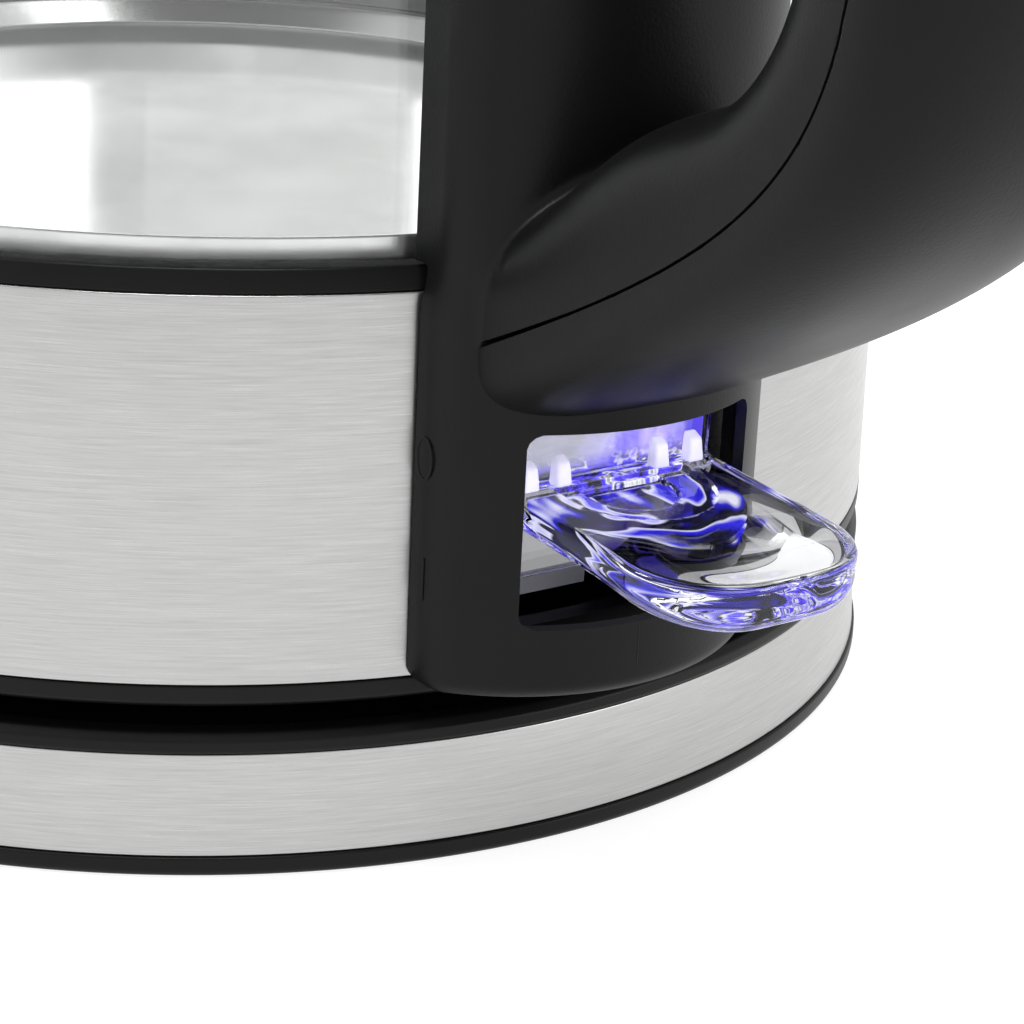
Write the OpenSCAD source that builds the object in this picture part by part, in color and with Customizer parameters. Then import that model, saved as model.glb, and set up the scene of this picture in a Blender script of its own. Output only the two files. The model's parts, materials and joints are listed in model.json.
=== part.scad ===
// Electric kettle: a glass jug with a steel waist, on a round powered base.
// The origin is on the table under the middle of the base.
// +Z is up, the handle points along +X and the spout along -X.

/* [Base] */
// Radius of the foot ring that stands on the table
base_r = 80; // [78:0.5:82]
// Radius of the deck rim, where it meets the jug
rim_r = 79; // [78.5:0.1:79.5]
// Height of the joint between foot ring and steel band
base_band_z = 2.2; // [2:0.1:3]
// Height of the top of the base's steel band
base_band_top = 12.8; // [12:0.1:13.5]
// Thickness of the sheet steel in both bands
band_t = 0.6; // [0.5:0.1:0.8]

/* [Jug] */
// Radius of the jug's steel band at its lower edge
waist_r = 78.96; // [78.5:0.02:79]
// Radius of the jug's steel band at its upper edge
waist_top_r = 78.28; // [78:0.02:78.9]
// Height of the lower edge of the jug's steel band
waist_z = 20.1; // [20:0.1:20.5]
// Height of the upper edge of the jug's steel band
waist_top = 58.9; // [58:0.1:59.5]
// Outer radius of the glass where it leaves the collar
glass_r = 75.7; // [75:0.1:76]
// Outer radius of the glass at its upper edge
glass_top_r = 75; // [74:0.1:75.2]
// Wall thickness of the glass
glass_t = 3; // [2.5:0.1:3.5]
// Height of the upper edge of the glass
glass_top = 187; // [180:1:187]

/* [Handle] */
// Half the width of the switch housing
housing_w = 19.5; // [19:0.1:20]
// Half the width of the spine beside the glass
spine_w = 18.9; // [18:0.1:19.2]
// Height of the lower end of the housing
housing_z = 19.5; // [19:0.1:20]
// Distance of the grip's middle from the jug's axis
grip_x = 130.7; // [128:0.1:132]
// Depth of the half of the grip that faces the jug
grip_inner = 14.2; // [12:0.1:15]
// Depth of the half of the grip that faces away
grip_outer = 10.1; // [9:0.1:12]
// Half the width of the grip
grip_w = 17.5; // [16:0.5:18]
// Wall thickness of the moulded handle
handle_t = 2.4; // [2:0.1:3]

/* [Switch] */
// Distance of the paddle's tip from the jug's axis
paddle_tip = 111; // [106:0.5:114]
// Half the width of the paddle
paddle_w = 12.5; // [11:0.1:12.6]
// Thickness of the paddle
paddle_t = 4; // [3.6:0.1:4.4]
// Droop of the paddle at rest, in degrees
paddle_droop = 2.5; // [0:0.5:4]

/* [Lid] */
// Radius of the lid
lid_r = 62.5; // [61:0.1:62.6]
// Height of the collar's upper face
collar_top = 206; // [205:0.5:206]

/* [Hidden] */
$fn = 96;
overlap = 0.01;                  // how far joined shapes of one moulding run into each other
gap = 0.3;                       // clearance between pieces that move past each other
fit = 0.1;                       // clearance between pieces that are fixed together
plastic = [0.08, 0.08, 0.085];
steel = [0.78, 0.78, 0.79];
brass = [0.8, 0.65, 0.3];
clear = [0.75, 0.85, 0.95, 0.35];
silicone = [0.85, 0.85, 0.85];

deck_z = 13;                     // level part of the deck
socket_r = 14.5;                 // connector tower on the base
socket_top = 21.5;
slot_r = [8, 11];                // ring slot in the tower
pad_ring_r = 75.1;               // circle of the rubber pads
pad_r = 3;
base_screw_ring_r = 60;
screw_r = 1.45;
gland_angle = 150;               // the cord's inlet is on the far side, towards the spout
gland_z = 7.6;
gland_r = 4.2;
cord_bore_r = 3.1;

floor_z = 16.5;                  // underside of the jug
floor_t = 2.1;
well_r = 16;                     // well over the connector tower
jug_screw_ring_r = 69;
plate_z = 52;                    // underside of the heater plate
plate_rim_z = 54.2;              // underside of its rim, which lies on the chassis
plate_t = 0.8;
plate_r = 64;
plate_rim_r = 75;
seat_z = 57.3;                   // lower edge of the glass
element_ring_r = 44;
element_r = 3.6;
element_z = 45.9;

face_x = 62.8;                   // centre of the housing's rounded front, seen from above
face_r = 26.4;
shoulder_z = 61.5;               // where the housing narrows to the spine
collar_foot = 181;               // where the spine makes room for the top collar
spine_top = 206;
window_y = [-13, 13.6];
window_z = [27, 46.8];
pivot = [74, 0, 37.7];           // switch pivot
pivot_r = 1.25;
paddle_y = 0.5;                  // middle of the paddle, which is that of the window
paddle_root = 5.8;               // back of the paddle's shield, from the pivot
hinge = [70, 0, 211];            // lid hinge
hinge_r = 1.5;
knuckle_r = 4;
knuckle_w = 13.4;                // half the width of the lid's knuckle
button_x = 97;
filter_x = -67.5;
filter_w = 14;                   // half the width of the spout filter
filter_z = 195.5;                // lower edge of the spout filter
collar_r = 77;                   // outer radius of the top collar
spout_t = 2.2;
screw_heights = [118, 152];      // the two screws in the grip
screw_seat = grip_x - grip_inner + 1.5;   // where their heads sit in the grip's wall
screw_end = grip_x + 6.8;
head_r = 2.9;                    // head of every screw
slot_w = 0.4;                    // half the width of the cross in a screw's head
latch_w = 3;
latch_x = [78, 85.5];
latch_z = [198, 202];
latch_travel = 2.6;

// ---- shared shapes ----

module ring_of(count, radius, start = 0)
  for (i = [0:count - 1]) rotate(start + i * 360 / count) translate([radius, 0, 0]) children();

module turned(points) rotate_extrude($fn = 180) polygon(points);

module tube(outer, inner, z0, z1) translate([0, 0, z0]) difference() {
  cylinder(r = outer, h = z1 - z0);
  translate([0, 0, -1]) cylinder(r = inner, h = z1 - z0 + 2);
}

module post(radius, z0, z1) translate([0, 0, z0]) cylinder(r = radius, h = z1 - z0, $fn = 32);

module disc(radius, z0, z1) translate([0, 0, z0]) cylinder(r = radius, h = z1 - z0);

// A bar from corner a to corner b.
module bar(a, b) translate(a) cube(b - a);

// A rod along Y, from y0 to y1, at (x, z).
module rod_y(x, z, radius, y0, y1)
  translate([x, y0, z]) rotate([-90, 0, 0]) cylinder(r = radius, h = y1 - y0, $fn = 48);

// A rod along X, from x0 to x1, at (y, z).
module rod_x(y, z, radius, x0, x1)
  translate([x0, y, z]) rotate([0, 90, 0]) cylinder(r = radius, h = x1 - x0, $fn = 48);

module along_gland(radius, r0, r1) rotate(gland_angle) rod_x(0, gland_z, radius, r0, r1);

// A cross-head screw that is driven upwards: its head from z = 0 to 1.3, its shank above.
module screw(length) {
  difference() {
    post(head_r, 0, 1.3);
    bar([-2, -slot_w, -1], [2, slot_w, 0.6]);
    bar([-slot_w, -2, -1], [slot_w, 2, 0.6]);
  }
  post(screw_r, 1.3 - overlap, length);
}

// ---- base ----

module base_cover() color(plastic) difference() {
  turned([[0, 2], [70, 2], [71, 0], [base_r - 0.8, 0], [base_r, 0.8], [base_r - 0.1, base_band_z - fit],
          [rim_r - 0.6, base_band_z - fit], [rim_r - 0.6, 6], [rim_r - 2.6, 6], [rim_r - 2.6, 4], [0, 4]]);
  ring_of(4, pad_ring_r, 45) post(pad_r + 0.05, -1, 1.25);
  ring_of(4, base_screw_ring_r, 20) post(screw_r + 0.2, 1, 5);
  along_gland(gland_r + fit, 60, 90);
}

module base_feet() color([0.12, 0.12, 0.12]) ring_of(4, pad_ring_r, 45) post(pad_r, 0, 1.2);

module base_band() color(steel) difference() {
  turned([[base_r - 0.3 - band_t, base_band_z], [base_r - 0.3, base_band_z],
          [rim_r, base_band_top], [rim_r - band_t, base_band_top]]);
  along_gland(gland_r + fit, 60, 90);
}

module base_deck() color(plastic) difference() {
  union() {
    turned([[socket_r + fit, 14.5], [22, 14.5], [24, deck_z], [72, deck_z], [75, 14.2], [76.6, 15],
            [rim_r - 0.8, 15], [rim_r + 0.1, 14.2], [rim_r + 0.2, 13.4], [rim_r, base_band_top + 0.1],
            [rim_r - 0.8, base_band_top + 0.1], [rim_r - 0.8, 6.3], [rim_r - 2.4, 6.3], [rim_r - 2.4, 10.5],
            [72, deck_z - 2], [socket_r + fit, deck_z - 2]]);
    ring_of(4, base_screw_ring_r, 20) post(3.4, 4.1, deck_z - 1);
  }
  ring_of(4, base_screw_ring_r, 20) post(screw_r + 0.05, 3, 10);
  along_gland(gland_r + fit, 60, 90);
}

module base_screws() color(steel)
  ring_of(4, base_screw_ring_r, 20) translate([0, 0, 0.65]) screw(8.9);

module base_socket() color(plastic)
  turned([[2.9, 10.5], [2.9, socket_top - 0.8], [3.7, socket_top], [slot_r[0] - 0.6, socket_top],
          [slot_r[0], socket_top - 0.6], [slot_r[0], 10.5], [slot_r[1], 10.5],
          [slot_r[1], socket_top - 0.6],
          [slot_r[1] + 0.6, socket_top], [socket_r - 1, socket_top], [socket_r, socket_top - 1],
          [socket_r, 10.8], [18, 10.8], [18, 4.1], [0, 4.1], [0, 10.5]]);

// Two sprung sleeves: one round the centre hole, one in the ring slot.
module base_contacts() color(brass) {
  tube(2.8, 2.3, 10.6, 18);
  tube(slot_r[1] - 0.1, slot_r[1] - 0.6, 10.6, 18);
}

module cord_gland() color(plastic) difference() {
  along_gland(gland_r, 70, rim_r + 0.2);
  along_gland(cord_bore_r, 60, 90);
}

// ---- jug, below the water ----

module collector_ring() color(brass) tube(9.6, 9, 12.5, 22);

module jug_floor() color(plastic) difference() {
  turned([[11.7, 24.6], [well_r, 24.6], [well_r, floor_z], [62, floor_z], [62.4, deck_z + gap],
          [67.6, deck_z + gap], [68, floor_z], [74, floor_z], [77.6, 17.4], [78.7, 17.8], [79, 18.2],
          [79, waist_z - fit], [74.8, waist_z - fit], [74.8, floor_z + floor_t], [18, floor_z + floor_t],
          [18, 26.6], [11.7, 26.6]]);
  ring_of(3, jug_screw_ring_r, 60) post(screw_r + 0.2, 12, 20);
  ring_of(3, jug_screw_ring_r, 60) post(3.2, 12, floor_z + 0.6);
}

module jug_floor_screws() color(steel)
  ring_of(3, jug_screw_ring_r, 60) translate([0, 0, floor_z - 0.8]) screw(11.3);

module jug_band() color(steel) difference() {
  turned([[waist_r - band_t, waist_z], [waist_r, waist_z], [waist_top_r, waist_top],
          [waist_top_r - band_t, waist_top]]);
  bar([60, -16.5, 23], [90, 16.5, 53]);
}

module jug_chassis() color(plastic) difference() {
  union() {
    turned([[75, waist_z], [77.4, waist_z], [77.4, 56], [76, 56], [76, plate_rim_z - fit],
            [69.5, plate_rim_z - fit], [69.5, 52.2], [75, 52.2]]);
    ring_of(3, jug_screw_ring_r, 60) post(4.2, floor_z + floor_t + fit, 30);
    ring_of(3, 0, 60) bar([jug_screw_ring_r + 3, -1.2, waist_z], [76, 1.2, 30]);
  }
  ring_of(3, jug_screw_ring_r, 60) post(screw_r + 0.05, 15, 28);
  bar([60, -16, 23], [90, 16, 52]);
}

module jug_collar() color(plastic)
  turned([[glass_r + 0.15, 56.3], [77.4, 56.3], [77.4, waist_top + fit], [waist_top_r, waist_top + fit],
          [waist_top_r - 0.1, 59.6], [76.4, 61.2], [glass_r + 0.15, 61.4]]);

module glass_body() color(clear)
  turned([[glass_r - glass_t, seat_z], [glass_r, seat_z], [glass_r, 62], [glass_top_r, glass_top - 0.6],
          [glass_top_r - 0.6, glass_top], [glass_top_r - glass_t + 0.6, glass_top],
          [glass_top_r - glass_t, glass_top - 0.6], [glass_r - glass_t, 62]]);

module plate_seal() color(silicone)
  tube(75.8, 70.6, plate_rim_z + plate_t + 0.05, seat_z - 0.05);

// A shallow dish with a sloping wall and a flat rim, which is clamped under the seal.
module heater_plate() color(steel)
  turned([[0, plate_z], [plate_r + 0.3, plate_z], [68.6, plate_rim_z], [plate_rim_r, plate_rim_z],
          [plate_rim_r, plate_rim_z + plate_t], [68.3, plate_rim_z + plate_t],
          [plate_r, plate_z + plate_t], [0, plate_z + plate_t]]);

module heat_spreader() color([0.7, 0.7, 0.7]) disc(60, element_z + element_r + fit, plate_z - fit);

// A tubular ring, open towards the spout, with two tails that turn down.
module heating_element() color([0.55, 0.5, 0.45]) {
  translate([0, 0, element_z]) rotate(195) rotate_extrude(angle = 330)
    translate([element_ring_r, 0]) circle(r = element_r, $fn = 32);
  for (a = [165, 195]) rotate(a) translate([element_ring_r, 0, 0]) post(element_r, 38, element_z);
}

module thermostat() color([0.9, 0.9, 0.88]) difference() {
  union() {
    disc(18, 27, 43);
    disc(24, 43, 46.6);
  }
  disc(1.9, 20, 29);
}

module bimetal_discs() color(brass) for (x = [-10, 10]) translate([x, 0, 0]) post(8, 46.8, 47.4);

module jug_plug() color(plastic) difference() {
  disc(11.4, 22.4, 26.8);
  disc(1.85, 20, 30);
}

module centre_pin() color(brass) post(1.8, 12.5, 28.8);

module element_leads() color([0.85, 0.85, 0.82])
  for (a = [165, 195]) rotate(a) rod_x(0, 40, 1.5, 18.2, element_ring_r - element_r - fit);

// ---- switch ----

module contact_block() color([0.9, 0.9, 0.88]) difference() {
  bar([52, -8, 22], [68, 8, 35]);
  bar([59.7, -3.3, 24], [66.3, 3.3, 40]);
}

module contact_slider() color([0.8, 0.2, 0.15]) bar([60, -3, 27.4], [66, 3, 36.2]);

module switch_wires() color([0.7, 0.1, 0.1]) for (y = [-5, 5]) rod_x(y, 30, 1.2, 17.6, 51.9);

module switch_bracket() color(plastic) difference() {
  for (side = [-1, 1]) scale([1, side, 1]) union() {
    bar([62, 13.2, 33], [78, 15.2, 43]);
    bar([69.2, 13.2, 30], [71.2, 21, 46]);
  }
  rod_y(pivot[0], pivot[2], pivot_r + 0.02, -30, 30);
}

module switch_pin() color(steel) rod_y(pivot[0], pivot[2], pivot_r, -15.1, 15.1);

module led_board() color([0.1, 0.35, 0.15]) bar([66.2, -12, 42.5], [67.8, 12, 52]);

module leds() color([0.3, 0.4, 1]) for (y = [-6.5, 6.5]) {
  rod_x(y, 47.2, 2.5, 67.9, 71);
  translate([71, y, 47.2]) sphere(r = 2.5, $fn = 32);
}

// One clear moulding: the paddle, the shield behind the window, the hub and the tail.
module switch_paddle() color(clear) translate(pivot) rotate([0, paddle_droop, 0]) {
  tip = paddle_tip - pivot[0];
  corner_r = 9.8;
  edge_r = paddle_t / 2;
  difference() {
    hull() {
      for (side = [-1, 1]) translate([tip - 1.5 - corner_r, paddle_y + side * (paddle_w - corner_r), 0])
        rounded_disc(corner_r, edge_r);
      translate([tip - 8, paddle_y, 0]) rounded_disc(8, edge_r);
      for (side = [-1, 1])
        rod_x(paddle_y + side * (paddle_w - edge_r), 0, edge_r, paddle_root + 1, paddle_root + 2);
    }
    translate([tip - 11, 0, 34]) sphere(r = 33);
  }
  bar([paddle_root, -12.6, -7.5], [paddle_root + 2, 12.6, 11.5]);
  for (y = [-9, -5.5, 6, 10]) bar([paddle_root + 2 - overlap, y - 0.6, 0], [paddle_root + 3, y + 0.6, 4]);
  difference() {
    union() {
      rod_y(0, 0, 3, -12.6, 12.6);
      bar([0, -11, -1.4], [paddle_root + 1, 11, 1.4]);
      bar([-12, -2.5, -1], [-1, 2.5, 1]);
    }
    rod_y(0, 0, pivot_r + 0.05, -20, 20);
  }
}

module rounded_disc(radius, edge) rotate_extrude($fn = 32) {
  translate([radius - edge, 0]) intersection() {
    circle(r = edge, $fn = 32);
    translate([0, -edge]) square([edge, 2 * edge]);
  }
  translate([0, -edge]) square([radius - edge, 2 * edge]);
}

// ---- handle ----

// Plan of the housing: a rounded front, straight sides and a back that follows the jug.
module housing_plan(half_w, back_r, inset = 0) difference() {
  intersection() {
    translate([face_x, 0]) rotate(2.5) circle(r = face_r - inset, $fn = 72);
    translate([70, -half_w + inset]) square([30, 2 * (half_w - inset)]);
  }
  circle(r = inset > 0 ? back_r - 3 : back_r, $fn = 180);
}

module slab(z0, z1) translate([0, 0, z0]) linear_extrude(z1 - z0) children();

// The housing is as wide as the switch needs up to the shoulder, and the spine above it is narrower.
module housing_form(inset = 0, grow = 0) {
  slab(housing_z + inset, shoulder_z - inset / 4)
    housing_plan(housing_w + grow, waist_r + fit, inset - grow);
  slab(shoulder_z - inset / 3, collar_foot - inset / 4)
    housing_plan(spine_w + grow, glass_r + fit, inset - grow);
  slab(collar_foot - inset / 3, spine_top - inset)
    housing_plan(spine_w + grow, collar_r + 2 * fit, inset - grow);
}

// Middle line of the handle, seen from the side: two curved arms and a straight grip.
function bezier(p, t) = pow(1 - t, 3) * p[0] + 3 * pow(1 - t, 2) * t * p[1]
                        + 3 * (1 - t) * t * t * p[2] + t * t * t * p[3];
function bezier_way(p, t) = (1 - t) * (1 - t) * (p[1] - p[0]) + 2 * (1 - t) * t * (p[2] - p[1])
                            + t * t * (p[3] - p[2]);
low_arm = [[83.5, 55.5], [117.6, 72.3], [grip_x, 81.2], [grip_x, 102]];
top_arm = [[grip_x, 158], [grip_x, 188], [112, 207], [82, 209]];
arm_steps = 8;
section_steps = 12;
seam = 0.1;                      // width of the joint between housing and cover

// One station of the handle: [x, z, heading, inner depth, outer depth, half width, squareness].
function low_station(t) = let (p = bezier(low_arm, t), w = bezier_way(low_arm, t))
  [p[0], p[1], atan2(w[1], w[0]), 9.5 + (grip_inner - 9.5) * pow(t, 1.25),
   8.3 + (grip_outer - 8.3) * pow(t, 3), 17 + (grip_w - 17) * t, 3.1 - 0.8 * t];
function top_station(t) = let (p = bezier(top_arm, t), w = bezier_way(top_arm, t))
  [p[0], p[1], atan2(w[1], w[0]), grip_inner + (12 - grip_inner) * t,
   grip_outer + (12 - grip_outer) * t, grip_w - 0.5 * t, 2.3 + 0.7 * t];
stations = concat([for (i = [0:arm_steps]) low_station(i / arm_steps)],
                  [for (i = [0:arm_steps]) top_station(i / arm_steps)]);

// Half of a rounded section: side 1 is the outer half, side -1 the half that faces the jug.
// A hollow's section runs on past the seam, so that the shell is open there.
function half_section(station, side, inset) =
  let (depth = (side > 0 ? station[4] : station[3]) - inset,
       width = station[5] - inset,
       power = 2 / station[6],
       start = inset > 0 ? -1 : side > 0 ? seam : 0,
       rim = [for (i = [0:section_steps]) let (a = i * 180 / section_steps)
              [max(start, 0) + depth * pow(abs(sin(a)), power),
               width * sign(cos(a)) * pow(abs(cos(a)), power)]],
       loop = concat(rim, start < 0 ? [[start, -width], [start, width]] : []))
  [for (p = loop) [station[0] + side * p[0] * sin(station[2]), side * p[1],
                   station[1] - side * p[0] * cos(station[2])]];

// One half of the handle as a closed form, lofted through the stations.
module half_handle(side, inset, skipped = 0) {
  rings = [for (i = [skipped:len(stations) - 1 - skipped]) half_section(stations[i], side, inset)];
  count = len(rings[0]);
  last = (len(rings) - 1) * count;
  sides = [for (i = [0:len(rings) - 2], j = [0:count - 1]) let (a = i * count, k = (j + 1) % count)
           each [[a + j, a + k, a + count + k], [a + j, a + count + k, a + count + j]]];
  ends = [[for (j = [count - 1:-1:0]) j], [for (j = [0:count - 1]) last + j]];
  polyhedron([for (ring = rings) each ring], concat(sides, ends), convexity = 6);
}

module handle_housing() color(plastic) difference() {
  union() {
    housing_form();
    half_handle(-1, 0);
  }
  housing_form(handle_t);
  half_handle(-1, handle_t, 1);
  bar([80, window_y[0], window_z[0]], [100, window_y[1], window_z[1]]);
  for (z = screw_heights) {
    rod_x(0, z, screw_r + 0.2, 100, grip_x - 5);
    rod_x(0, z, head_r + gap, 100, screw_seat);
  }
  bar([70, -latch_w - gap, latch_z[0] - gap],
      [latch_x[1] + latch_travel + gap, latch_w + gap, latch_z[1] + gap]);
}

module handle_cover() color(plastic) difference() {
  union() {
    difference() {
      half_handle(1, 0);
      half_handle(1, handle_t, 1);
    }
    for (z = screw_heights) rod_x(0, z, 3.4, grip_x + 3, grip_x + grip_outer - 1);
  }
  housing_form(0, fit);
  bar([60, -30, 190], [79.5, 30, 230]);
  for (z = screw_heights) rod_x(0, z, screw_r + 0.05, 100, screw_end + 0.7);
  translate([button_x, 0, 205]) cylinder(r = 7 + gap, h = 30, $fn = 48);
}

module handle_screws() color(steel) for (z = screw_heights)
  translate([screw_seat - 1.4, 0, z]) rotate([0, 90, 0]) screw(screw_end - screw_seat + 1.4);

module steam_tube() color([0.9, 0.9, 0.88]) translate([81.5, 0, 0]) tube(3, 2.2, 62, 190);

module steam_bimetal() color(brass) translate([83, 0, 0]) disc(3, 54, 54.6);

// ---- top of the jug and lid ----

module top_seal() color(silicone) tube(75.2, 71.2, glass_top + 0.05, 188.3);

// The spout as a closed form, and smaller by an inset for the channel that the water runs in.
module spout_form(inset) hull() {
  translate([-66, 0, 190 + 2 * inset]) cylinder(r = 9 - inset, h = 1, $fn = 32);
  translate([-60, 0, collar_top - 1]) cylinder(r = 26 - inset, h = 1 + (inset > 0 ? overlap : 0), $fn = 32);
  translate([-87, 0, collar_top - 1]) cylinder(r = 5 - inset, h = 1 + (inset > 0 ? overlap : 0), $fn = 32);
}

module top_collar() color(plastic) difference() {
  union() {
    turned([[75.4, 182], [collar_r, 182], [collar_r, collar_top - 1.5], [collar_r - 1.2, collar_top],
            [lid_r + 0.8, collar_top], [lid_r + 0.8, 204.6], [59.6, 204.6], [59.6, 201], [70.8, 191],
            [70.8, 188.4], [75.4, 188.4]]);
    for (side = [-1, 1]) scale([1, side, 1]) hull() {
      rod_y(hinge[0], hinge[2], knuckle_r, knuckle_w + gap, 17.5);
      bar([66, knuckle_w + gap, collar_top - 1], [74, 17.5, collar_top]);
    }
  }
  spout_form(spout_t);
  bar([filter_x - gap, -filter_w - gap, filter_z - gap],
      [filter_x + 2.4 + gap, filter_w + gap, collar_top + 1]);
  rod_y(hinge[0], hinge[2], hinge_r + 0.02, -30, 30);
}

module spout_lip() color(plastic) difference() {
  spout_form(0);
  disc(collar_r + 0.05, 180, 210);
  spout_form(spout_t);
}

module spout_filter() color(plastic) difference() {
  bar([filter_x, -filter_w, filter_z], [filter_x + 2.4, filter_w, collar_top + 1]);
  bar([filter_x - 1, 2 - filter_w, filter_z + 2], [filter_x + 4, filter_w - 2, collar_top - 2]);
}

module filter_mesh() color(steel) difference() {
  bar([filter_x + 0.9, 2.05 - filter_w, filter_z + 2.05],
      [filter_x + 1.3, filter_w - 2.05, collar_top - 2.05]);
  for (y = [-10:4:10], z = [filter_z + 3.2:2.5:collar_top - 3])
    bar([filter_x, y - 1.4, z - 0.6], [filter_x + 2, y + 1.4, z + 1]);
}

module hinge_pin() color(steel) rod_y(hinge[0], hinge[2], hinge_r, -17.6, 17.6);

module lid_shell() color(plastic) difference() {
  union() {
    turned([[0, 209], [60, 209], [60, 206.7], [lid_r, 206.7], [lid_r, 209.2], [lid_r - 0.6, 210.8],
            [lid_r - 2.4, 212], [52, 213.4], [52, 212.2], [0, 212.2]]);
    hull() {
      rod_y(hinge[0], hinge[2], knuckle_r, -knuckle_w, knuckle_w);
      bar([57, -knuckle_w, 209.5], [58, knuckle_w, 212.4]);
    }
  }
  rod_y(hinge[0], hinge[2], hinge_r + 0.05, -30, 30);
}

module lid_disc() color(steel)
  turned([[0, 212.3], [51.8, 212.3], [51.8, 213], [50.5, 213.8], [0, 215.6]]);

module lid_liner() color([0.15, 0.15, 0.15])
  turned([[0, 199], [56, 199], [57.4, 200.4], [57.4, 202], [55.4, 202], [55.4, 204.4], [57.4, 204.4],
          [57.4, 208.9], [53.4, 208.9], [53.4, 201], [0, 201]]);

module lid_seal() color(silicone) tube(58.6, 55.6, 202.1, 204.3);

module lid_button() color([0.2, 0.2, 0.2]) translate([button_x, 0, 0])
  turned([[0, 211.5], [7, 211.5], [7, 222], [6, 223.4], [0, 224]]);

module button_spring() color(steel) translate([button_x, 0, 0])
  for (i = [0:5]) translate([0, 0, 199 + 2.3 * i])
    rotate_extrude() translate([4, 0]) circle(r = 0.4, $fn = 16);

module lid_latch() color([0.85, 0.85, 0.8])
  bar([latch_x[0], -latch_w, latch_z[0]], [latch_x[1], latch_w, latch_z[1]]);

base_cover();
base_feet();
base_band();
base_deck();
base_screws();
base_socket();
base_contacts();
cord_gland();
collector_ring();
jug_floor();
jug_floor_screws();
jug_band();
jug_chassis();
jug_collar();
glass_body();
plate_seal();
heater_plate();
heat_spreader();
heating_element();
thermostat();
bimetal_discs();
jug_plug();
centre_pin();
element_leads();
contact_block();
switch_wires();
handle_housing();
handle_cover();
handle_screws();
steam_tube();
steam_bimetal();
switch_bracket();
switch_pin();
led_board();
leds();
switch_paddle();
contact_slider();
top_seal();
top_collar();
spout_lip();
spout_filter();
filter_mesh();
hinge_pin();
lid_shell();
lid_disc();
lid_liner();
lid_seal();
lid_button();
button_spring();
lid_latch();
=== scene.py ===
"""Electric kettle: the looks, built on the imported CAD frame.

Shapes are worked out in mm and made in metres. The z axis points up and the handle is on the x axis.
"""
import json
import math

import bmesh
import bpy
import numpy as np
from mathutils import Matrix, Vector


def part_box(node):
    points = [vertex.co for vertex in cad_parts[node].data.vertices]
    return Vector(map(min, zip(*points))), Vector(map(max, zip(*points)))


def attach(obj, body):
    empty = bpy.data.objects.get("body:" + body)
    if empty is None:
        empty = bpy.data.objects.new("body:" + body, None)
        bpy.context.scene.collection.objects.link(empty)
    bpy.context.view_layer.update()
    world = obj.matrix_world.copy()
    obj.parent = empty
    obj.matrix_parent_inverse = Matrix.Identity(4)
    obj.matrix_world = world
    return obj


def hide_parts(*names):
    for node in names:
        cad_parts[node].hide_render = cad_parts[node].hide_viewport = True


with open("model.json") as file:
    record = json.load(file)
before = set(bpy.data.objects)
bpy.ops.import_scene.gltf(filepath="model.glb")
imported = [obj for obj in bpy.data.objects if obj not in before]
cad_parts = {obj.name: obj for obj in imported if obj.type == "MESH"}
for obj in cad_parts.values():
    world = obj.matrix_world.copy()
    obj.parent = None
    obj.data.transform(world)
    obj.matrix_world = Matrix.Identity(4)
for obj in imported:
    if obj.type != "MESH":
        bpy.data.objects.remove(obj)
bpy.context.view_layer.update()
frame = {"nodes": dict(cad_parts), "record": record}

MM = 0.001


def low(node, axis):
    """Lowest coordinate of a CAD node along an axis, in mm."""
    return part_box(node)[0]["xyz".index(axis)] / MM


def high(node, axis):
    """Highest coordinate of a CAD node along an axis, in mm."""
    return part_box(node)[1]["xyz".index(axis)] / MM


# ---- driving dimensions, read from the frame ----

BASE_R = high("base_cover", "y")
RIM_R = high("base_deck", "y") - 0.2
WAIST_R = high("jug_band", "y")
WAIST_Z = low("jug_band", "z")
WAIST_TOP = high("jug_band", "z")
GLASS_TOP = high("glass_body", "z")
GLASS_R = high("glass_body", "y")
COLLAR_R = high("top_collar", "y")
COLLAR_TOP = high("handle_housing", "z")
HOUSING_W = high("handle_housing", "y")
HOUSING_Z = low("handle_housing", "z")
PADDLE_TIP = high("switch_paddle", "x")
LID_R = high("lid_shell", "y")


# ---- mesh helpers ----

def add_piece(name, points, faces, body, material, replaces=(), smooth=True):
    """A mesh piece from points in mm, riding on a body."""
    mesh = bpy.data.meshes.new(name)
    mesh.from_pydata([tuple(p) for p in np.asarray(points, float) * MM], [], [tuple(f) for f in faces])
    mesh.update()
    mesh.polygons.foreach_set("use_smooth", [smooth] * len(mesh.polygons))
    obj = bpy.data.objects.new(name, mesh)
    bpy.context.scene.collection.objects.link(obj)
    mesh.materials.append(material)
    if replaces:
        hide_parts(*replaces)
    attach(obj, body)
    return obj


def fillet(outline, radii, steps=5):
    """A closed outline of (r, z) points with each corner rounded by its radius; a radius of 0 stays sharp."""
    made = []
    count = len(outline)
    for i, radius in enumerate(radii):
        p = Vector(outline[i])
        a, b = Vector(outline[i - 1]) - p, Vector(outline[(i + 1) % count]) - p
        if radius == 0:
            made.append(tuple(p))
            continue
        half = a.angle(b) / 2
        reach = min(radius / math.tan(half), a.length * 0.49, b.length * 0.49)
        radius = reach * math.tan(half)
        centre = p + (a.normalized() + b.normalized()).normalized() * (radius / math.sin(half))
        start = p + a.normalized() * reach - centre
        turn = start.angle_signed(p + b.normalized() * reach - centre)
        for s in range(steps + 1):
            v = Matrix.Rotation(-turn * s / steps, 2) @ start
            made.append(tuple(centre + v))
    return made


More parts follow.
